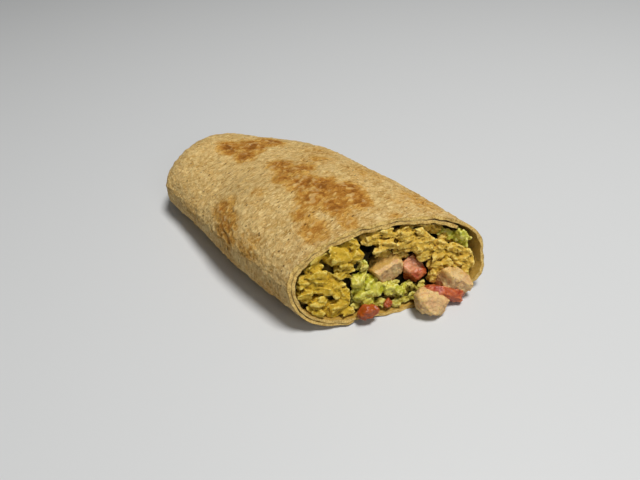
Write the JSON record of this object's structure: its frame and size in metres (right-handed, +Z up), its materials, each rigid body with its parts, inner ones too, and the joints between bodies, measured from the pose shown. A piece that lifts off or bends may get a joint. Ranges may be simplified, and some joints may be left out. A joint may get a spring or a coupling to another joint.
{
  "type": "chicken wrap",
  "caption": "Half of a rolled wholemeal chicken wrap, closed at one end and cut on a slant, with chicken, lettuce, tomato and sauced shreds showing at the cut.",
  "frame": {"origin": "middle of the whole wrap's bounding box, at the level of the surface it rests on", "axes": "+X along the roll, from the closed end to the cut; +Y across the roll; +Z up"},
  "size_m": [0.1856, 0.0968, 0.0441],
  "materials": {
    "tortilla": "toasted wholemeal flatbread, matt, speckled, with golden brown patches",
    "sauced_shreds": "mustard yellow shreds in sauce, half matt",
    "pulled_chicken": "pulled chicken in pale yellow sauce, half matt",
    "chicken": "cooked chicken breast, pale, moist",
    "tomato": "moist tomato flesh",
    "lettuce": "pale green lettuce, moist"
  },
  "bodies": {
    "root": {"tortilla": "tortilla", "chicken_chunk_front": "chicken", "chicken_chunk_centre": "chicken", "chicken_chunk_right": "chicken", "tomato_centre": "tomato", "tomato_right": "tomato", "tomato_lip": "tomato", "tomato_bit": "tomato", "lettuce_leaf_centre": "lettuce", "lettuce_leaf_corner": "lettuce", "sauced_shreds": "sauced_shreds", "pulled_chicken": "pulled_chicken", "lettuce_bed": "lettuce"}
  },
  "joints": []
}
